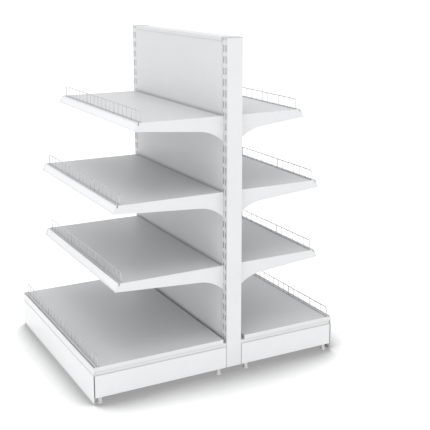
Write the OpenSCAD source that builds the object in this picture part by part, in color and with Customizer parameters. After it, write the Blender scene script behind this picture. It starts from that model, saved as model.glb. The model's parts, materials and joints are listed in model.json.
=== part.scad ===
// Double-sided gondola shelving, one bay, deeper on the front than on the rear.
// X runs along the bay, Y from front to rear, Z up. The floor is Z = 0.

/* [Bay] */
// Distance between the centres of the two uprights
bay_pitch = 1000; // [800:10:1300]
// Height of the whole unit above the floor
total_h = 1575; // [1500:5:2000]
// Clear height under the uprights and the base brackets
ground_gap = 32; // [24:1:40]
// Height of the base tray's top above the floor
base_top = 175; // [160:1:200]
// Slot pitches from one shelf to the next
shelf_steps = 7; // [6:1:8]

/* [Uprights] */
// Width of an upright along the bay
upright_w = 50; // [46:1:60]
// Depth of an upright from front to rear
upright_d = 78; // [60:1:120]
// Wall of an upright
upright_wall = 2; // [1.5:0.5:3]
// Outer corner radius of an upright
upright_r = 3; // [1:0.5:5]
// Distance from one slot to the next
slot_pitch = 50; // [46:1:56]
// Width of a slot
slot_w = 6; // [4:0.5:8]
// Height of a slot
slot_h = 30; // [28:1:36]
// Distance of each slot column from the middle of the upright
slot_inset = 10; // [8:0.5:14]
// Height of an end cap above the tube
cap_h = 4; // [3:1:20]

/* [Shelf depths] */
// Depth of the front base tray
front_base_depth = 650; // [560:5:800]
// Depth of the two middle front trays
front_shelf_depth = 515; // [300:5:550]
// Depth of the top front tray
front_top_depth = 410; // [260:5:550]
// Depth of the rear base tray
rear_base_depth = 505; // [460:5:800]
// Depth of the two middle rear trays
rear_shelf_depth = 420; // [300:5:450]
// Depth of the top rear tray
rear_top_depth = 325; // [260:5:450]

/* [Trays] */
// Sheet thickness of the trays
tray_sheet = 1.5; // [1:0.1:2.5]
// Height of a tray's folded edge
tray_lip = 26; // [24:1:32]
// Width of the stiffener under a tray
stiffener_w = 50; // [30:1:80]
// Height of the stiffener under a tray
stiffener_h = 18; // [10:1:20]

/* [Shelf brackets] */
// Plate thickness of the brackets
bracket_t = 3; // [2:0.1:3.4]
// Height of a bracket at its front end
bracket_tip_h = 37; // [34:1:45]
// Height of a bracket where the flare to the root starts
bracket_waist_h = 63; // [50:1:75]
// Height of a bracket at the upright
bracket_root_h = 120; // [118:1:140]
// Length of the flare at the root of a bracket
flare_len = 120; // [80:1:150]

/* [Price rails] */
// Height of a price rail's face
rail_h = 40; // [30:1:44]
// Lean of the rail's face on the shelves, in degrees
rail_lean = 24; // [0:1:35]
// Thickness of a price rail
rail_sheet = 1.5; // [1.2:0.1:3]
// Gap between a shelf tray's edge and the rail's face
rail_groove = 3.5; // [2.5:0.1:6]
// Gap between a base tray's edge and the rail's face
base_groove = 8; // [4:0.5:12]

/* [Wire fences] */
// Height of a wire fence above its tray
fence_h = 50; // [30:1:80]
// Diameter of the fence's top wire and posts
post_d = 4; // [3:0.1:5]
// Diameter of the fence's ribs and bottom wire
rib_d = 2.4; // [2:0.1:4]
// Distance from one rib to the next
rib_pitch = 50; // [35:1:80]
// Distance of the fence behind the tray's front edge
fence_back = 12; // [9:1:20]

/* [Base] */
// Height of a base tray's folded edge
base_lip = 21; // [19:1:26]
// Gap between a base tray's folded edge and the base brackets
base_joint = 1; // [0.5:0.5:3]
// How far the base brackets step in below the tray's edge
base_step = 4; // [3:0.5:4]
// Width of the seam between a base bracket and its upright
base_seam = 4; // [2:0.5:6]
// Plate thickness of a base bracket's folds
base_fold_t = 3; // [2:0.5:4]
// Sheet thickness of the kick plates
kick_sheet = 1.5; // [1:0.1:3]
// Clear height under the kick plates
kick_gap = 4; // [4:1:16]
// Diameter of the studs that hold a kick plate
kick_stud_d = 6; // [4:0.5:8]

/* [Levelling feet] */
// Diameter of a foot's disc
foot_d = 26; // [20:1:30]
// Height of a foot's disc
foot_disc_h = 6; // [4:1:10]
// Diameter of a foot's stud
stud_d = 10; // [8:1:12]
// Width of the foot's hexagon across its flats
hex_af = 17; // [15:1:19]
// Length of the stud above the bracket's underside
stud_len = 38; // [30:1:60]

/* [Back panels] */
// Sheet thickness of the back panels
panel_sheet = 1; // [0.8:0.1:2]
// Depth of the panels' folded edges
panel_fold = 12; // [8:1:20]

/* [Fits] */
// Clearance around a pin or stud in its hole, on the radius
hole_fit = 0.3; // [0.2:0.05:0.5]
// Gap between a tray and what stands beside it
tray_fit = 1; // [0.5:0.1:2]
// Gap between a shelf tray's back edge and the back panels
tray_back = 5; // [1:0.5:10]
// Gap between a base tray's back edge and the back panels
base_back = 18; // [4:1:24]
// Gap between stacked sheet pieces
panel_fit = 0.5; // [0.2:0.1:0.9]
// Gap of the joint between a kick plate and the base brackets
kick_joint = 5; // [2.5:0.5:7]
// Gap between a kick plate and the price rail above it
kick_seam = 0.3; // [0.2:0.1:2]

/* [Hidden] */
SIDES = ["front", "rear"];
ENDS = ["left", "right"];
LEVELS = [0, 1, 2, 3];
SHELVES = [1, 2, 3];
TOP_LEVEL = 3;
PLACES = ["outer", "inner"];

$fn = 24;
coat = [0.93, 0.93, 0.93];
wire_grey = [0.72, 0.73, 0.75];
cap_grey = [0.62, 0.62, 0.63];
zinc = [0.75, 0.76, 0.78];
nylon = [0.9, 0.9, 0.9];

// Heights: the panels stop one step below the caps, and their joints hide behind the trays
top_step = 4;
shelf_rise = shelf_steps * slot_pitch;
tube_top = total_h - cap_h;
panel_top = total_h - top_step;
panel_drop = tray_lip / 2;

// Slots: the columns are tied to the shelf heights, and hooks sit one pitch below a tray's top.
// The tube's end may cut the last slot, if at least slot_rest of its height is left.
hook_drop = slot_pitch;
slot_margin = 6;
slot_rest = 5;
lowest_slot = base_top - hook_drop
    - floor((base_top - hook_drop - slot_h / 2 - slot_margin - ground_gap) / slot_pitch) * slot_pitch;
highest_slot = tube_top - slot_rest + slot_h / 2;

// Hooks: the tab stands on the slot's lower edge and its lip drops behind the wall
hook_tab_h = 20;
hook_lip = 7;
hook_t = 4;
hook_slack = 0.4;

// Places along the bay
column_in = bay_pitch / 2 - slot_inset;
column_out = bay_pitch / 2 + slot_inset;
panel_half = bay_pitch / 2 - upright_w / 2 - panel_fit;
tie_half = bay_pitch / 2 - upright_w / 2;
bracket_in = column_in - bracket_t / 2;
bracket_out = column_in + bracket_t / 2;
base_end = bay_pitch / 2 + upright_w / 2;

// Price rail: spine on the tray's edge, bridge, face and two ticket lips
spine_t = 1.5;
groove_depth = 10;
ticket_lip = 2;
lip_sheet = 1;
lip_turn = 3;
rail_reach = rail_groove + rail_sheet + ticket_lip;
rail_end_t = 1.5;

// Bracket tip: it covers the rail's end, follows its lean and stands proud of the ticket lips.
// A notch in it leaves the groove's end open.
cheek = 0.5;
tip_top = rail_groove + (rail_sheet + ticket_lip + cheek) / cos(rail_lean);
tip_bottom = tip_top + bracket_tip_h * tan(rail_lean);
notch_bottom = rail_groove + groove_depth * tan(rail_lean);

// Kick plate: its face is level with the base rail's lips, and the base brackets end behind it
kick_face = base_groove + rail_sheet + ticket_lip;
kick_back = kick_face - kick_sheet;
web_reach = kick_back - kick_joint;
kick_top = base_top - rail_h - kick_seam;
kick_fold = 10;
collar_d = kick_stud_d + 8;
stud_tip = 8;
kick_rows = [0.3, 0.7];
kick_stud_in = 16;

// Base bracket folds, and the lugs that lift the base tray clear of it.
// The web steps in level with the price rail's lower edge.
base_bracket_top = base_top - base_lip - base_joint;
base_step_z = base_top - rail_h;
seam_plate = 12;
web_h = base_bracket_top - ground_gap;
foot_flange = 30;
stiff_flange = 15;
lug_len = 60;
lug_end_gap = 50;
foot_inset = 18;
inner_foot_y = 35;
outer_foot_back = 26;
nut_h = 8;

// Tray details
ledge_w = 12;
ledge_t = 2;
ledge_end = 20;
stiffener_end = 20;
fence_end = 8;
fence_leg = 10;

// Where the middle of the uprights stands, so that the unit is centred on the origin
function reach(side) = max(
    depth(side, 0) + kick_face,
    max([for (k = SHELVES) depth(side, k)]) + max(tip_bottom, rail_reach + rail_h * sin(rail_lean))
);
centre_y = (reach("front") - reach("rear")) / 2;

function depth(side, level) =
    side == "front"
        ? [front_base_depth, front_shelf_depth, front_shelf_depth, front_top_depth][level]
        : [rear_base_depth, rear_shelf_depth, rear_shelf_depth, rear_top_depth][level];

function top_of(level) = base_top + level * shelf_rise;
function tray_half(level) = level == 0 ? base_end : bracket_in - tray_fit;
function lip_of(level) = level == 0 ? base_lip : tray_lip;
function back_of(level) = level == 0 ? base_back : tray_back;
function web_end(side) = depth(side, 0) + web_reach;
function foot_y(side, place) = place == "inner" ? inner_foot_y : web_end(side) - outer_foot_back;
function foot_name(side, end, place) = str(side, "_foot_", end, "_", place);

// Rib number i of n stands at this place, and the posts share the same row
function rib_count(level) = round(2 * (tray_half(level) - fence_end) / rib_pitch);
function rib_x(level, i) = (tray_half(level) - fence_end) * (2 * i / rib_count(level) - 1);
function posts(level) = [0, round(rib_count(level) / 3), rib_count(level) - round(rib_count(level) / 3),
    rib_count(level)];

// Points of the flare: an arc that leaves the sloping edge at its tangent and ends at the root
function flare(front) =
    let (
        slope = atan2(bracket_waist_h - bracket_tip_h, front + tip_bottom - flare_len),
        rise = bracket_root_h - bracket_waist_h,
        chord = norm([flare_len, rise]),
        turn = atan2(rise, flare_len) - slope,
        radius = chord / (2 * sin(turn)),
        steps = 8
    )
    [for (i = [0:steps])
        let (t = turn * i / steps, away = 2 * radius * sin(t))
        [flare_len - away * cos(slope + t), -bracket_waist_h - away * sin(slope + t)]];

// Stands its children on one side: y = 0 is the upright's face there, and y grows outwards
module on_side(side) {
    translate([0, centre_y, 0])
        mirror([0, side == "front" ? 1 : 0, 0])
            translate([0, upright_d / 2, 0])
                children();
}

// Turns children made for the right end into the left end
module at_end(end) {
    mirror([end == "left" ? 1 : 0, 0, 0])
        children();
}

// A box given by its lowest and highest corners
module block(low, high) {
    translate(low)
        cube(high - low);
}

// Sweeps a profile drawn in y and z along the bay
module along_bay(half) {
    translate([-half, 0, 0])
        rotate([90, 0, 90])
            linear_extrude(2 * half)
                children();
}

module wire_x(half, d) {
    translate([-half, 0, 0])
        rotate([0, 90, 0])
            cylinder(h = 2 * half, d = d);
}

module rounded_rect(w, d, r) {
    square([w - 2 * r, d], center = true);
    square([w, d - 2 * r], center = true);
    for (x = [-1, 1], y = [-1, 1])
        translate([x * (w / 2 - r), y * (d / 2 - r)])
            circle(r);
}

// Folded pan: a sheet with four folded edges, open on its underside
module pan(half, y0, y1, top, lip, sheet) {
    difference() {
        block([-half, y0, top - lip], [half, y1, top]);
        block([-half + sheet, y0 + sheet, top - lip - 1], [half - sheet, y1 - sheet, top - sheet]);
    }
}

module upright(end) {
    color(coat)
        at_end(end)
            translate([bay_pitch / 2, centre_y, 0])
                difference() {
                    translate([0, 0, ground_gap])
                        linear_extrude(tube_top - ground_gap)
                            difference() {
                                rounded_rect(upright_w, upright_d, upright_r);
                                square([upright_w - 2 * upright_wall, upright_d - 2 * upright_wall],
                                    center = true);
                            }
                    for (x = [-slot_inset, slot_inset], z = [lowest_slot:slot_pitch:highest_slot])
                        block([x - slot_w / 2, -upright_d / 2 - 1, z - slot_h / 2],
                            [x + slot_w / 2, upright_d / 2 + 1, z + slot_h / 2]);
                }
}

module cap(end) {
    plug_h = 15;
    plug_inset = upright_wall + hole_fit;
    color(cap_grey)
        at_end(end)
            translate([bay_pitch / 2, centre_y, tube_top]) {
                linear_extrude(cap_h)
                    rounded_rect(upright_w, upright_d, upright_r);
                translate([0, 0, -plug_h])
                    linear_extrude(plug_h)
                        square([upright_w - 2 * plug_inset, upright_d - 2 * plug_inset], center = true);
            }
}

// Closes the top between the two skins of panels, with a lip over each and two legs between them
module top_rail() {
    cover_t = 2;
    lip_h = 14;
    leg_h = 25;
    lip_y = upright_d / 2 + cover_t / 2;
    leg_y = upright_d / 2 - panel_fold - panel_fit - cover_t / 2;
    color(coat)
        translate([0, centre_y, 0]) {
            block([-tie_half, -upright_d / 2 - cover_t, panel_top],
                [tie_half, upright_d / 2 + cover_t, panel_top + cover_t]);
            for (s = [-1, 1]) {
                translate([0, s * lip_y, 0])
                    block([-tie_half, -cover_t / 2, panel_top - lip_h], [tie_half, cover_t / 2, panel_top]);
                translate([0, s * leg_y, 0])
                    block([-tie_half, -cover_t / 2, panel_top - leg_h], [tie_half, cover_t / 2, panel_top]);
            }
        }
}

// Box tie between the feet of the uprights, which the lowest panels stand on
module bottom_tie() {
    tie_h = 40;
    tie_wall = 2;
    half_y = upright_d / 2 - panel_sheet;
    tie_top = base_top - panel_drop;
    color(coat)
        translate([0, centre_y, 0])
            difference() {
                block([-tie_half, -half_y, tie_top - tie_h], [tie_half, half_y, tie_top]);
                block([-tie_half - 1, -half_y + tie_wall, tie_top - tie_h + tie_wall],
                    [tie_half + 1, half_y - tie_wall, tie_top - tie_wall]);
            }
}

module back_panel(side, k) {
    low = top_of(k) - panel_drop + (k == 0 ? 0 : panel_fit);
    high = k == TOP_LEVEL ? panel_top : top_of(k + 1) - panel_drop;
    color(coat)
        on_side(side)
            difference() {
                block([-panel_half, -panel_fold, low], [panel_half, 0, high]);
                block([-panel_half + panel_sheet, -panel_fold - 1, low + panel_sheet],
                    [panel_half - panel_sheet, -panel_sheet, high - panel_sheet]);
            }
}

// Hook of a bracket plate whose middle is at x, in the slot whose middle is at z
module hook(x, z) {
    foot = z - slot_h / 2;
    block([x - bracket_t / 2, -upright_wall - hook_slack - hook_t, foot],
        [x + bracket_t / 2, 0, foot + hook_tab_h]);
    block([x - bracket_t / 2, -upright_wall - hook_slack - hook_t, foot - hook_lip],
        [x + bracket_t / 2, -upright_wall - hook_slack, foot]);
}

// One cantilever bracket, with the ledge that the tray's edge stands on
module bracket(front, top) {
    translate([bracket_in, 0, top])
        rotate([90, 0, 90])
            linear_extrude(bracket_t)
                polygon(concat(
                    [[0, 0], [front, 0], [front, -groove_depth], [front + notch_bottom, -groove_depth],
                        [front + rail_groove, 0], [front + tip_top, 0],
                        [front + tip_bottom, -bracket_tip_h]],
                    flare(front)));
    block([bracket_in - ledge_w, ledge_end, top - tray_lip - ledge_t],
        [bracket_in, front - ledge_end, top - tray_lip]);
    for (k = [0, 1])
        hook(column_in, top - hook_drop - k * slot_pitch);
}

module brackets(side, level) {
    color(coat)
        on_side(side)
            for (end = ENDS)
                at_end(end)
                    bracket(depth(side, level), top_of(level));
}

// End panel of the base: a web level with the upright's outer face, folded on all four sides.
// It steps in below the tray's edge and beside the upright, and holds hooks, holes and lugs.
module base_bracket(side, end) {
    web = base_end - bracket_t;
    upper_in = web - base_step;
    upper_out = base_end - base_step;
    last = web_end(side);
    color(coat)
        on_side(side)
            at_end(end)
                difference() {
                    union() {
                        block([web, base_seam, ground_gap], [base_end, last, base_step_z]);
                        block([upper_in, base_seam, base_step_z - bracket_t], [base_end, last, base_step_z]);
                        block([upper_in, 0, base_step_z - bracket_t], [upper_out, last, base_bracket_top]);
                        block([upper_in, 0, ground_gap], [web, seam_plate, base_step_z]);
                        block([column_out - bracket_t / 2, 0, ground_gap],
                            [upper_out, base_fold_t, base_bracket_top]);
                        block([base_end - foot_flange, 0, ground_gap],
                            [web, last, ground_gap + base_fold_t]);
                        block([base_end - foot_flange, last - base_fold_t, ground_gap],
                            [base_end, last, base_step_z]);
                        block([base_end - foot_flange, last - base_fold_t, base_step_z - base_fold_t],
                            [upper_out, last, base_bracket_top]);
                        block([upper_out - stiff_flange, 0, base_bracket_top - base_fold_t],
                            [upper_out, last, base_bracket_top]);
                        for (y = [lug_end_gap, last - lug_end_gap - lug_len])
                            block([upper_in, y, base_bracket_top - base_fold_t],
                                [upper_out, y + lug_len, base_top - tray_sheet]);
                        for (z = [lowest_slot:slot_pitch:base_bracket_top + slot_h / 2 - hook_tab_h])
                            hook(column_out, z);
                    }
                    for (place = PLACES)
                        translate([base_end - foot_inset, foot_y(side, place), ground_gap - 1])
                            cylinder(h = base_fold_t + 2, d = stud_d + 2 * hole_fit);
                    for (row = kick_rows)
                        translate([base_end - kick_stud_in, last + 1, ground_gap + row * web_h])
                            rotate([90, 0, 0])
                                cylinder(h = base_fold_t + 2, d = kick_stud_d + 2 * hole_fit);
                }
}

module weld_nuts() {
    color(zinc)
        for (side = SIDES)
            on_side(side)
                for (end = ENDS, place = PLACES)
                    at_end(end)
                        translate([base_end - foot_inset, foot_y(side, place), ground_gap + base_fold_t])
                            difference() {
                                cylinder(h = nut_h, d = hex_af / cos(30), $fn = 6);
                                translate([0, 0, -1])
                                    cylinder(h = nut_h + 2, d = stud_d + 2 * hole_fit);
                            }
}

// Levelling foot: disc, spanner hexagon up to the bracket, and stud through the nut
module foot(side, end, place) {
    edge = 1;
    color(nylon)
        on_side(side)
            at_end(end)
                translate([base_end - foot_inset, foot_y(side, place), 0]) {
                    cylinder(h = foot_disc_h - edge, d = foot_d);
                    translate([0, 0, foot_disc_h - edge])
                        cylinder(h = edge, d1 = foot_d, d2 = foot_d - 2 * edge);
                    translate([0, 0, foot_disc_h])
                        cylinder(h = ground_gap - foot_disc_h, d = hex_af / cos(30), $fn = 6);
                    translate([0, 0, ground_gap])
                        cylinder(h = stud_len, d = stud_d);
                }
}

module tray(side, level) {
    half = tray_half(level);
    top = top_of(level);
    front = depth(side, level);
    middle = (back_of(level) + front) / 2;
    color(coat)
        on_side(side) {
            difference() {
                pan(half, back_of(level), front, top, lip_of(level), tray_sheet);
                for (i = posts(level))
                    translate([rib_x(level, i), front - fence_back, top - tray_sheet - 1])
                        cylinder(h = tray_sheet + 2, d = post_d + 2 * hole_fit);
            }
            difference() {
                block([-half + stiffener_end, middle - stiffener_w / 2, top - stiffener_h],
                    [half - stiffener_end, middle + stiffener_w / 2, top - tray_sheet]);
                block([-half + stiffener_end - 1, middle - stiffener_w / 2 + tray_sheet,
                    top - stiffener_h + tray_sheet],
                    [half - stiffener_end + 1, middle + stiffener_w / 2 - tray_sheet, top - tray_sheet]);
            }
        }
}

// Profile of a price rail, from the tray's front edge outwards and from its top down
module rail_profile(lip, groove, lean) {
    translate([0, -lip])
        square([spine_t, lip - groove_depth]);
    translate([0, -groove_depth - spine_t])
        square([groove + (groove_depth + spine_t) * tan(lean) + rail_sheet / 2, spine_t]);
    translate([groove, 0])
        rotate(lean)
            for (flip = [0, 1])
                translate([0, flip * -rail_h])
                    mirror([0, flip])
                        union() {
                            translate([0, -rail_h / 2])
                                square([rail_sheet, rail_h / 2]);
                            translate([rail_sheet, -lip_sheet])
                                square([ticket_lip, lip_sheet]);
                            translate([rail_sheet + ticket_lip - lip_sheet, -lip_turn])
                                square([lip_sheet, lip_turn]);
                        }
}

// Closes the end of a base rail, in front of the base bracket below the tray
module rail_end_profile() {
    face = base_groove + rail_sheet;
    low_start = min(web_reach + tray_fit, base_groove);
    polygon([[0, 0], [face, 0], [face, -rail_h], [low_start, -rail_h], [low_start, -base_lip],
        [0, -base_lip]]);
}

// A shelf's rail is covered at its ends by the brackets, and a base rail closes its own
module price_rail(side, level) {
    half = tray_half(level);
    color(coat)
        on_side(side)
            translate([0, depth(side, level), top_of(level)])
                if (level == 0) {
                    along_bay(half)
                        rail_profile(base_lip, base_groove, 0);
                    for (end = ENDS)
                        at_end(end)
                            translate([half - rail_end_t / 2, 0, 0])
                                along_bay(rail_end_t / 2)
                                    rail_end_profile();
                } else
                    along_bay(half)
                        rail_profile(tray_lip, rail_groove, rail_lean);
}

module fence(side, level) {
    top = top_of(level);
    half = tray_half(level) - fence_end;
    count = rib_count(level);
    color(wire_grey)
        on_side(side)
            translate([0, depth(side, level) - fence_back, top]) {
                translate([0, 0, fence_h - post_d / 2])
                    wire_x(half, post_d);
                translate([0, 0, hole_fit + rib_d / 2])
                    wire_x(half, rib_d);
                for (i = [0:count])
                    translate([rib_x(level, i), 0, 0])
                        if (search(i, posts(level)) != [])
                            translate([0, 0, -fence_leg])
                                cylinder(h = fence_leg + fence_h, d = post_d);
                        else
                            translate([0, 0, hole_fit + rib_d / 2])
                                cylinder(h = fence_h - post_d / 2 - hole_fit - rib_d / 2, d = rib_d);
            }
}

// Its lower fold passes under the base brackets, and its upper fold stops between them
module kick_plate(side) {
    face = depth(side, 0) + kick_face;
    inside = depth(side, 0) + kick_back;
    upper_half = base_end - foot_flange - tray_fit;
    color(coat)
        on_side(side) {
            block([-base_end, inside, kick_gap], [base_end, face, kick_top]);
            block([-base_end, face - kick_fold, kick_gap], [base_end, inside, kick_gap + kick_sheet]);
            block([-upper_half, face - kick_fold, kick_top - kick_sheet], [upper_half, inside, kick_top]);
            for (end = ENDS, row = kick_rows)
                at_end(end)
                    translate([base_end - kick_stud_in, inside, ground_gap + row * web_h])
                        rotate([90, 0, 0]) {
                            cylinder(h = kick_joint, d = collar_d);
                            cylinder(h = kick_joint + stud_tip, d = kick_stud_d);
                        }
        }
}

for (e = ENDS)
    upright(e);
for (e = ENDS)
    cap(e);
top_rail();
bottom_tie();
for (s = SIDES, k = LEVELS)
    back_panel(s, k);
for (s = SIDES, e = ENDS)
    base_bracket(s, e);
weld_nuts();
for (s = SIDES, e = ENDS, p = PLACES)
    foot(s, e, p);
for (s = SIDES, k = SHELVES)
    brackets(s, k);
for (s = SIDES, k = LEVELS)
    tray(s, k);
for (s = SIDES, k = LEVELS)
    price_rail(s, k);
for (s = SIDES, k = LEVELS)
    fence(s, k);
for (s = SIDES)
    kick_plate(s);
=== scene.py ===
import json
import math
import bmesh
import bpy
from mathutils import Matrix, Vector


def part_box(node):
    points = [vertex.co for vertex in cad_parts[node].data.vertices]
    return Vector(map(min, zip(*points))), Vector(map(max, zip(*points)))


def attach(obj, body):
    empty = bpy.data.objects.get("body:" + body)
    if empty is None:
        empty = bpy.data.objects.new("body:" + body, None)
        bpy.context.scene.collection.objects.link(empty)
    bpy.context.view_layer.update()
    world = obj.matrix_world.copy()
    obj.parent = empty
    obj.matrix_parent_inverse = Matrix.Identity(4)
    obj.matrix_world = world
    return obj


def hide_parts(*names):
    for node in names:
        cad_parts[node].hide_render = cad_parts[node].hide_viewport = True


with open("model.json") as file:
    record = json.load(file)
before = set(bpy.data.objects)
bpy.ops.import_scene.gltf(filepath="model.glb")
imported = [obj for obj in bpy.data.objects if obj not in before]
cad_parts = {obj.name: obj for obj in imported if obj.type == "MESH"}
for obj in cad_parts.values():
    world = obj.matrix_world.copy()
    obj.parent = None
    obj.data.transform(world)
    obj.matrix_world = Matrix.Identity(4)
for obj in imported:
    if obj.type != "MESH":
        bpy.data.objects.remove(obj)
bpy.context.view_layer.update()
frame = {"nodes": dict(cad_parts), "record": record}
scene = bpy.context.scene
record = frame["record"]
nodes = frame["nodes"]

# Camera: the photograph's view, fitted to the shelving's edges. Image 430 x 430.
IMAGE = 430
FOCAL_PX = 879.3
SHIFT_PX = -55
TILT_DOWN = 11.95
TURN = 61.69
camera_data = bpy.data.cameras.new("camera")
camera_data.sensor_fit = "HORIZONTAL"
camera_data.sensor_width = 36
camera_data.lens = FOCAL_PX / IMAGE * camera_data.sensor_width
camera_data.shift_y = SHIFT_PX / IMAGE
camera_data.clip_end = 400
camera = bpy.data.objects.new("camera", camera_data)
camera.location = (3.885, -1.839, 1.844)
camera.rotation_euler = (math.radians(90 - TILT_DOWN), 0, math.radians(TURN))
scene.collection.objects.link(camera)
scene.camera = camera
scene.view_settings.view_transform = "Standard"


class Nodes:
    """Short names for building one node tree."""

    def __init__(self, tree):
        self.tree = tree
        tree.nodes.clear()

    def add(self, kind, inputs=None, **settings):
        made = self.tree.nodes.new(kind)
        for name, value in settings.items():
            setattr(made, name, value)
        for key, value in (inputs or {}).items():
            socket = made.inputs[key]
            if isinstance(value, bpy.types.NodeSocket):
                self.tree.links.new(value, socket)
            else:
                socket.default_value = value
        return made

    def math(self, operation, a, b=0.0, clamp=False):
        return self.add("ShaderNodeMath", {0: a, 1: b}, operation=operation, use_clamp=clamp).outputs[0]

    def vector(self, operation, a, b=(0, 0, 0)):
        return self.add("ShaderNodeVectorMath", {0: a, 1: b}, operation=operation).outputs[0]

    def spread(self, value):
        """One number as a grey colour or a vector."""
        return self.add("ShaderNodeCombineXYZ", {0: value, 1: value, 2: value}).outputs[0]

    def split(self, vector):
        """The sockets X, Y and Z of a vector."""
        return self.add("ShaderNodeSeparateXYZ", {0: vector}).outputs

    def noise(self, place, scale, detail=2.0, roughness=0.5):
        inputs = {"Vector": place, "Scale": scale, "Detail": detail, "Roughness": roughness}
        return self.add("ShaderNodeTexNoise", inputs).outputs["Fac"]

    def remap(self, value, low, high, to_low=0.0, to_high=1.0, smooth=False):
        """Maps low..high onto to_low..to_high and holds the ends."""
        inputs = {"Value": value, "From Min": low, "From Max": high, "To Min": to_low, "To Max": to_high}
        kind = "SMOOTHSTEP" if smooth else "LINEAR"
        return self.add("ShaderNodeMapRange", inputs, interpolation_type=kind).outputs[0]

    def blend(self, amount, a, b):
        """Colour a, or b where amount is 1."""
        return self.add("ShaderNodeMix", {0: amount, 6: a, 7: b}, data_type="RGBA").outputs[2]

    def openness(self, distance, samples=8, **inputs):
        """1 in the open, and less where something stands within this distance."""
        inputs["Distance"] = distance
        return self.add("ShaderNodeAmbientOcclusion", inputs, samples=samples).outputs["AO"]

    def bump(self, height, strength, depth, normal=None):
        inputs = {"Height": height, "Strength": strength, "Distance": depth}
        if normal:
            inputs["Normal"] = normal
        return self.add("ShaderNodeBump", inputs).outputs[0]


def grey(value, warm=0.0):
    return (value + warm, value, value - warm, 1)


def seen_by_eye(n):
    """1 for what the camera, a gloss or a glass sees, and 0 for what only lights the scene."""
    path = n.add("ShaderNodeLightPath").outputs
    either = n.math("MAXIMUM", path["Is Camera Ray"], path["Is Glossy Ray"])
    return n.math("MAXIMUM", either, path["Is Transmission Ray"])


def build_world():
    """A white studio: even soft light from all round, and a white backdrop for the eye."""
    world = bpy.data.worlds.new("studio")
    world.use_nodes = True
    scene.world = world
    n = Nodes(world.node_tree)
    light = n.add("ShaderNodeBackground", {"Color": (0.99, 0.995, 1.0, 1), "Strength": 0.95})
    backdrop = n.add("ShaderNodeBackground", {"Color": (1, 1, 1, 1), "Strength": 1.0})
    mix = n.add("ShaderNodeMixShader", {0: seen_by_eye(n), 1: light.outputs[0], 2: backdrop.outputs[0]})
    n.add("ShaderNodeOutputWorld", {"Surface": mix.outputs[0]})


def build_floor():
    """A white floor: real shade from the lamps, and for the eye a painted contact shadow, wider on the +X
    and +Y sides.
    """
    side = 120
    mesh = bpy.data.meshes.new("floor")
    corners = [(-side, -side, 0), (side, -side, 0), (side, side, 0), (-side, side, 0)]
    mesh.from_pydata(corners, [], [(0, 1, 2, 3)])
    floor = bpy.data.objects.new("floor", mesh)
    scene.collection.objects.link(floor)
    material = bpy.data.materials.new("floor_paper")
    material.use_nodes = True
    mesh.materials.append(material)
    n = Nodes(material.node_tree)
    bounce = n.add("ShaderNodeBsdfDiffuse", {"Color": (0.93, 0.93, 0.93, 1)})
    # Painted shadow: the floor's colour for the eye darkens where an openness lookup, its normal leant to -X
    # and -Y, finds the shelving near
    lean = n.vector("NORMALIZE", (-0.24, -0.07, 1.0))
    painted_shadow = n.remap(n.openness(0.45, samples=16, Normal=lean), 0.54, 0.91, 0.07, 0.95)
    shade = n.add("ShaderNodeBsdfDiffuse", {"Color": n.spread(painted_shadow)})
    glow = n.add("ShaderNodeEmission", {"Color": (1, 1, 1, 1), "Strength": 0.33})
    shown = n.add("ShaderNodeAddShader", {0: shade.outputs[0], 1: glow.outputs[0]})
    mix = n.add("ShaderNodeMixShader", {0: seen_by_eye(n), 1: bounce.outputs[0], 2: shown.outputs[0]})
    n.add("ShaderNodeOutputMaterial", {"Surface": mix.outputs[0]})


def area_light(name, location, target, size, power):
    data = bpy.data.lights.new(name, "AREA")
    data.shape = "RECTANGLE"
    data.size, data.size_y = size
    data.energy = power
    lamp = bpy.data.objects.new(name, data)
    lamp.location = location
    lamp.rotation_euler = (Vector(target) - Vector(location)).to_track_quat("-Z", "Y").to_euler()
    scene.collection.objects.link(lamp)


def new_material(name):
    material = bpy.data.materials.new(name)
    material.use_nodes = True
    n = Nodes(material.node_tree)
    return material, n, n.add("ShaderNodeTexCoord").outputs["Object"]


def finish_material(n, paint, roughness, bump):
    shader = n.add("ShaderNodeBsdfPrincipled", {"Base Color": paint, "Roughness": roughness, "Normal": bump})
    n.add("ShaderNodeOutputMaterial", {"Surface": shader.outputs[0]})
    return shader


def rounded_edges(n, radius):
    """Normals that round each sharp edge, and a mask of 1 on the edge and 0 on a flat face."""
    soft = n.add("ShaderNodeBevel", {"Radius": radius}, samples=4).outputs[0]
    flat = n.add("ShaderNodeNewGeometry").outputs["Normal"]
    turn = n.add("ShaderNodeVectorMath", {0: soft, 1: flat}, operation="DOT_PRODUCT").outputs["Value"]
    return soft, n.remap(turn, 0.98, 0.8)


def rub_marks(n, place):
    """Goods slide in and out: faint lines along Y, in round patches."""
    lines = n.remap(n.noise(n.vector("MULTIPLY", place, (420, 9, 1)), 1, 3, 0.6), 0.60, 0.72)
    patches = n.remap(n.noise(place, 7, 2), 0.50, 0.66)
    return n.math("MULTIPLY", lines, patches)


def scuff_marks(n, place):
    """Shoes and trolleys: level streaks that fade out 110 mm above the floor."""
    streaks = n.remap(n.noise(n.vector("MULTIPLY", place, (16, 16, 160)), 1, 4, 0.6), 0.60, 0.70)
    low = n.remap(n.split(place)["Z"], 0.01, 0.11, 1.0, 0.0, smooth=True)
    return n.math("MULTIPLY", streaks, low)


def within_tubes(n, place, bounds):
    """1 inside the two upright tubes, whose centres lie at plus and minus middle_x."""
    middle_x, half_x, middle_y, half_y = bounds
    xyz = n.split(place)
    off_x = n.math("ABSOLUTE", n.math("SUBTRACT", n.math("ABSOLUTE", xyz["X"]), middle_x))
    off_y = n.math("ABSOLUTE", n.math("SUBTRACT", xyz["Y"], middle_y))
    return n.math("MULTIPLY", n.math("LESS_THAN", off_x, half_x), n.math("LESS_THAN", off_y, half_y))


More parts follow.
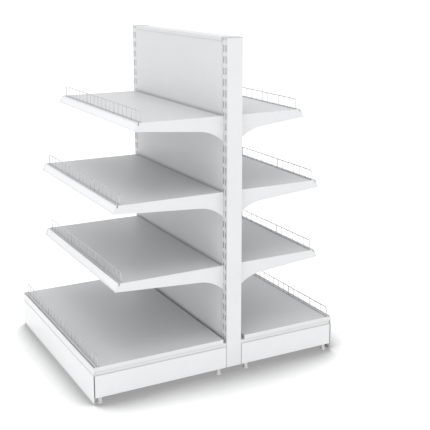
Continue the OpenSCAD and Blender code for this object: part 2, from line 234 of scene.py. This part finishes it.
def powder_coat(name, colour, roughness=0.42, peel_depth=0.00025, rubbed=False, scuff=0.0, corner=0.0,
                joint_grime_and_shade=0.0, shaded_faces=None, bare_and_shaded_inside=None):
    """Polyester powder coat over steel. Its grain is orange peel, 2 mm from crest to crest.

    rubbed: handling marks polish the decks. scuff: how dark the marks near the floor are.
    corner: how much painted shade greys the inner corners, from an openness lookup out to 300 mm.
    joint_grime_and_shade: how dark the grime and painted shade are in the last 20 mm where two parts meet.
    shaded_faces: the axis (X, Y or Z) that some faces look along, and the darker colour painted on them as
    painted shade.
    bare_and_shaded_inside: bounds (x from the middle, half, y, half) of the tubes, within which the steel is
    bare and painted dark grey, which also stands in for the shade inside the closed tube.
    """
    material, n, place = new_material(name)
    cloud = n.noise(place, 4, 3)
    speck = n.noise(place, 260, 2)
    tone = n.math("ADD", n.remap(cloud, 0.3, 0.7, -0.014, 0.012), n.remap(speck, 0.35, 0.65, -0.006, 0.006))
    base = colour
    # Painted shade: faces that look along one axis get a darker copy of the colour, as where less light
    # falls on them
    if shaded_faces:
        axis, shaded_colour = shaded_faces
        facing = n.math("ABSOLUTE", n.split(n.add("ShaderNodeTexCoord").outputs["Normal"])[axis])
        base = n.blend(n.math("GREATER_THAN", facing, 0.7), colour + (1,), shaded_colour + (1,))
    paint = n.vector("MULTIPLY", base, n.spread(n.math("ADD", tone, 1.0)))

    # Edges: the coat draws thin over folds, greys there, and chips in a few spots
    soft, edge = rounded_edges(n, 0.0012)
    chips = n.math("MULTIPLY", edge, n.remap(n.noise(place, 90, 4, 0.65), 0.60, 0.68))
    worn = n.math("ADD", n.math("MULTIPLY", edge, 0.03), n.math("MULTIPLY", chips, 0.22), clamp=True)
    paint = n.blend(worn, paint, grey(0.42))

    # Dust settles in faint streaks, scattered by noise over the whole coat
    dust = n.remap(n.noise(place, 14, 5, 0.6), 0.45, 0.75, 0.0, 0.05)
    paint = n.blend(dust, paint, grey(0.60, 0.012))
    rough = n.math("ADD", n.remap(cloud, 0.3, 0.7, roughness - 0.04, roughness + 0.04),
                   n.math("MULTIPLY", worn, 0.2))

    if rubbed:
        marks = rub_marks(n, place)
        rough = n.math("SUBTRACT", rough, n.math("MULTIPLY", marks, 0.14))
        paint = n.blend(n.math("MULTIPLY", marks, 0.10), paint, grey(0.55))
    # Painted shade: inner corners grey where an openness lookup finds surfaces within 300 mm
    if corner:
        paint = n.blend(n.remap(n.openness(0.30), 0.80, 0.42, 0.0, corner), paint, grey(0.36))
    # Grime and painted shade: dark grey within 22 mm of where two parts meet
    if joint_grime_and_shade:
        paint = n.blend(n.remap(n.openness(0.022), 0.95, 0.55, 0.0, joint_grime_and_shade), paint, grey(0.20))
    if scuff:
        paint = n.blend(n.math("MULTIPLY", scuff_marks(n, place), scuff), paint, grey(0.34))
    # Bare steel inside the tubes, painted dark grey also as painted shade within the closed tube
    if bare_and_shaded_inside:
        paint = n.blend(within_tubes(n, place, bare_and_shaded_inside), paint, grey(0.22))

    bump = n.bump(n.noise(place, 500, 2, 0.55), 0.22, peel_depth, soft)
    shader = finish_material(n, paint, rough, bump)
    shader.inputs["Coat Weight"].default_value = 0.08
    shader.inputs["Coat Roughness"].default_value = 0.25
    return material


def moulded_plastic(name, colour, roughness, grain=1400):
    """Spark-eroded mould grain, with a polished rim where hands and tools touch it."""
    material, n, place = new_material(name)
    cloud = n.noise(place, 22, 3)
    fine = n.noise(place, grain, 2, 0.6)
    soft, edge = rounded_edges(n, 0.0015)
    tone = n.math("ADD", n.remap(cloud, 0.3, 0.7, 0.96, 1.03), n.math("MULTIPLY", edge, 0.06))
    paint = n.vector("MULTIPLY", colour, n.spread(tone))
    grained = n.remap(fine, 0.3, 0.7, roughness - 0.06, roughness + 0.06)
    rough = n.math("SUBTRACT", grained, n.math("MULTIPLY", edge, 0.12))
    finish_material(n, paint, rough, n.bump(fine, 0.35, 0.0002, soft))
    return material


def zinc_plate(name, colour):
    """Bright zinc: a crystal spangle with turned marks and a few dull spots."""
    material, n, place = new_material(name)
    spangle = n.add("ShaderNodeTexVoronoi", {"Vector": place, "Scale": 420}).outputs["Color"]
    level = n.split(spangle)["X"]
    dull = n.remap(n.noise(place, 120, 3), 0.55, 0.7)
    paint = n.vector("MULTIPLY", colour, n.spread(n.remap(level, 0.0, 1.0, 0.92, 1.06)))
    paint = n.blend(n.math("MULTIPLY", dull, 0.35), paint, grey(0.35))
    rough = n.math("ADD", n.remap(level, 0.0, 1.0, 0.28, 0.42), n.math("MULTIPLY", dull, 0.2))
    turned = n.noise(n.vector("MULTIPLY", place, (1, 1, 12)), 300, 2)
    shader = finish_material(n, paint, rough, n.bump(turned, 0.3, 0.0002))
    shader.inputs["Metallic"].default_value = 1.0
    return material


build_world()
build_floor()
# A soft box overhead, and a weak fill near the floor in front of the deeper side
area_light("key_softbox", (1.3, -0.9, 4.9), (0, 0, 0.7), (3.0, 3.0), 40)
area_light("low_fill", (-0.4, -4.2, 0.62), (0, 0, 0.35), (3.0, 1.2), 10)

# WHITE is the powder coat's own colour. The other whites are the same paint with painted shade or painted
# light: darker copies on the decks, the slotted upright faces and the back panels, a lighter copy on the
# base.
WHITE = (0.85, 0.852, 0.856)
DECK_SHADED_WHITE = (0.615, 0.618, 0.626)
PANEL_SHADED_WHITE = (0.722, 0.724, 0.730)
SLOT_FACE_SHADED_WHITE = (0.71, 0.712, 0.72)
BASE_LIT_WHITE = (0.88, 0.882, 0.886)
UPRIGHT_X, UPRIGHT_Y = 0.5, (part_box("upright_right")[0][1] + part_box("upright_right")[1][1]) / 2
TUBE_INSIDES = (UPRIGHT_X, 0.0235, UPRIGHT_Y, 0.0375)
materials = {
    "upright_coat": powder_coat("upright_coat", WHITE, 0.40, shaded_faces=("Y", SLOT_FACE_SHADED_WHITE),
                                bare_and_shaded_inside=TUBE_INSIDES),
    "panel_coat": powder_coat("panel_coat", PANEL_SHADED_WHITE, 0.46, joint_grime_and_shade=0.35),
    "bracket_coat": powder_coat("bracket_coat", WHITE, 0.40),
    "tray_coat": powder_coat("tray_coat", WHITE, 0.42, rubbed=True, corner=0.35, joint_grime_and_shade=0.35,
                             shaded_faces=("Z", DECK_SHADED_WHITE)),
    "base_coat": powder_coat("base_coat", BASE_LIT_WHITE, 0.42, scuff=0.12, joint_grime_and_shade=0.4),
    "rail_coat": powder_coat("rail_coat", WHITE, 0.36, peel_depth=0.00018),
    "fence_wire": zinc_plate("fence_wire", (0.56, 0.565, 0.575)),
    "cap_plastic": moulded_plastic("cap_plastic", (0.60, 0.60, 0.61), 0.50),
    "foot_nylon": moulded_plastic("foot_nylon", (0.78, 0.78, 0.775), 0.45, 900),
    "zinc": zinc_plate("zinc", (0.62, 0.63, 0.65)),
}
slot_of = {}
for part in record["subparts"]:
    slot_of[part["node"]] = part["material_slot"]
    for slot in nodes[part["node"]].material_slots:
        slot.material = materials[part["material_slot"]]


def middle(node):
    """The centre of a node's box, seen from above."""
    low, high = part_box(node)
    return ((low.x + high.x) / 2, (low.y + high.y) / 2)


def quarter_round(radius, steps):
    """How far in, and how far below its top, a rounded rim is at each step up."""
    angles = [math.pi / 2 * i / steps for i in range(steps + 1)]
    return [(radius * (1 - math.cos(a)), radius * (1 - math.sin(a))) for a in angles]


def circle(radius, z, steps, centre=(0, 0)):
    """Points of a level ring round a centre."""
    angles = [math.tau * i / steps for i in range(steps)]
    return [(centre[0] + radius * math.cos(a), centre[1] + radius * math.sin(a), z) for a in angles]


def rounded_rectangle(half_x, half_y, radius, z, centre, steps=5):
    """Points of a level rectangle with round corners."""
    points = []
    for quarter, (sx, sy) in enumerate(((1, 1), (-1, 1), (-1, -1), (1, -1))):
        for i in range(steps + 1):
            angle = math.pi / 2 * (quarter + i / steps)
            points.append((centre[0] + sx * (half_x - radius) + radius * math.cos(angle),
                           centre[1] + sy * (half_y - radius) + radius * math.sin(angle), z))
    return points


def tube(path, radius, y, sides=10):
    """Rings of a round wire along a path of (x, z) points that lies in the plane of one y."""
    rings = []
    for i, (x, z) in enumerate(path):
        (x0, z0), (x1, z1) = path[max(i - 1, 0)], path[min(i + 1, len(path) - 1)]
        length = math.hypot(x1 - x0, z1 - z0)
        across = ((z1 - z0) / length, (x0 - x1) / length)
        ring = []
        for k in range(sides):
            angle = math.tau * k / sides
            out = radius * math.cos(angle)
            ring.append((x + across[0] * out, y + radius * math.sin(angle), z + across[1] * out))
        rings.append(ring)
    return rings


def stand_in(node, body, shells, smooth_angle=35):
    """Makes one piece of closed shells, each a stack of rings, and lets it stand for a CAD node."""
    vertices, faces = [], []
    for rings in shells:
        first, count = len(vertices), len(rings[0])
        for ring in rings:
            vertices.extend(ring)
        for i in range(len(rings) - 1):
            for j in range(count):
                a, b = first + i * count + j, first + i * count + (j + 1) % count
                faces.append((a, b, b + count, a + count))
        last = first + (len(rings) - 1) * count
        faces.append(tuple(range(first, first + count))[::-1])
        faces.append(tuple(range(last, last + count)))
    mesh = bpy.data.meshes.new(f"{node}_detail")
    mesh.from_pydata(vertices, [], faces)
    shape = bmesh.new()
    shape.from_mesh(mesh)
    bmesh.ops.recalc_face_normals(shape, faces=shape.faces)
    shape.to_mesh(mesh)
    shape.free()
    mesh.polygons.foreach_set("use_smooth", [True] * len(mesh.polygons))
    mesh.set_sharp_from_angle(angle=math.radians(smooth_angle))
    mesh.materials.append(materials[slot_of[node]])
    piece = bpy.data.objects.new(f"{node}_detail", mesh)
    scene.collection.objects.link(piece)
    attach(piece, body)
    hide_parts(node)


# The gap that the CAD leaves round anything that plugs in or rests on a sheet
CLEARANCE = 0.0003

# End caps: a flange with a rounded rim and a slightly hollow top, and a tapered plug with a lead-in
CAP_RIM = 0.0014
CAP_CORNER = 0.003
CAP_CORNER_LEAST = 0.0006
CAP_DISH = 0.0005
CAP_DISH_FROM, CAP_DISH_TO = 0.003, 0.0045
PLUG_TAPER = 0.0006
PLUG_INSET = 0.0024
PLUG_LEAD = 0.002


def cap_shells(node, tube_top):
    low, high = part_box(node)
    centre = middle(node)
    half_x, half_y = (high.x - low.x) / 2, (high.y - low.y) / 2
    flange = [(CLEARANCE, tube_top), (0, tube_top + CLEARANCE)]
    flange += [(inset, high.z - drop) for inset, drop in quarter_round(CAP_RIM, 4)]
    flange += [(CAP_RIM + CAP_DISH_FROM, high.z), (CAP_RIM + CAP_DISH_TO, high.z - CAP_DISH)]
    plug = [(PLUG_INSET + PLUG_LEAD, low.z), (PLUG_INSET + PLUG_TAPER, low.z + PLUG_LEAD),
            (PLUG_INSET, tube_top)]
    return [[rounded_rectangle(half_x - inset, half_y - inset, max(CAP_CORNER - inset, CAP_CORNER_LEAST), z,
                               centre) for inset, z in profile] for profile in (plug, flange)]


# Levelling feet: a disc with a rounded rim, a chamfered hexagon and a threaded stud
DISC_H = 0.006
DISC_RIM = 0.0016
HEX_FLATS = 0.017
HEX_CHAMFER = 0.0009
STUD_R = 0.005
STUD_TIP = 0.0014
STUD_SIDES = 18
THREAD_PITCH = 0.0015
THREAD_DEPTH = 0.0008
ROWS_A_TURN = 4


def foot_shells(node, bracket_underside):
    low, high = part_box(node)
    centre = middle(node)
    disc_r = (high.x - low.x) / 2
    disc = [(disc_r - 0.002, 0), (disc_r - 0.0004, 0.0008)]
    disc += [(disc_r - inset, DISC_H - drop) for inset, drop in quarter_round(DISC_RIM, 4)]
    corner = HEX_FLATS / 2 / math.cos(math.pi / 6)
    hexagon = [(corner, DISC_H), (corner, bracket_underside - HEX_CHAMFER),
               (corner - HEX_CHAMFER, bracket_underside)]
    turns = (high.z - bracket_underside) / THREAD_PITCH
    stud = []
    for row in range(int(turns * ROWS_A_TURN) + 1):
        z = bracket_underside + row * THREAD_PITCH / ROWS_A_TURN
        ring = []
        for k, (x, y, _) in enumerate(circle(1, z, STUD_SIDES)):
            phase = (row / ROWS_A_TURN + k / STUD_SIDES) % 1
            radius = STUD_R - THREAD_DEPTH * abs(2 * phase - 1)
            ring.append((centre[0] + radius * x, centre[1] + radius * y, z))
        stud.append(ring)
    stud.append(circle(STUD_R - STUD_TIP, high.z, STUD_SIDES, centre))
    return [[circle(r, z, 36, centre) for r, z in disc],
            [circle(r, z, 6, centre) for r, z in hexagon],
            stud]


# Wire fences: one wire bent down at both ends, ribs welded between it and the bottom wire
WIRE_R = 0.002
RIB_R = 0.0012
RIB_PITCH = 0.050
LEG_DEPTH = 0.010
BEND_R = 0.009
BEND_STEPS = 6
WELD_R = 0.0021


def weld(x, z, y, rings=5, sides=8):
    """The small swollen spot where two wires melt together."""
    angles = [math.pi * (i + 0.5) / rings for i in range(rings)]
    return [circle(WELD_R * math.sin(a), z - WELD_R * math.cos(a), sides, (x, y)) for a in angles]


def fence_shells(node):
    low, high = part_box(node)
    y = middle(node)[1]
    half = (high.x - low.x) / 2 - WIRE_R
    top = high.z - WIRE_R
    bottom = low.z + LEG_DEPTH + CLEARANCE + RIB_R
    corner = [(half - BEND_R * (1 - math.sin(a)), top - BEND_R * (1 - math.cos(a)))
              for a in (math.pi / 2 * i / BEND_STEPS for i in range(BEND_STEPS + 1))]
    right = corner + [(half, low.z)]
    left = [(-x, z) for x, z in reversed(right)]
    shells = [tube(left + right, WIRE_R, y), tube([(-half, bottom), (half, bottom)], RIB_R, y)]
    count = round(2 * half / RIB_PITCH)
    posts = (round(count / 3), count - round(count / 3))
    for i in range(1, count):
        x = half * (2 * i / count - 1)
        if i in posts:
            shells.append(tube([(x, low.z), (x, top)], WIRE_R, y))
        else:
            shells.append(tube([(x, bottom), (x, top)], RIB_R, y))
            shells.append(weld(x, bottom, y))
            shells.append(weld(x, top - WIRE_R, y))
    return shells


frame_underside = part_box("upright_left")[0].z
for end in ("left", "right"):
    stand_in(f"cap_{end}", "frame", cap_shells(f"cap_{end}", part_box(f"upright_{end}")[1].z))
for node in slot_of:
    if slot_of[node] == "foot_nylon":
        stand_in(node, node, foot_shells(node, frame_underside))
    if slot_of[node] == "fence_wire":
        stand_in(node, node, fence_shells(node), 40)
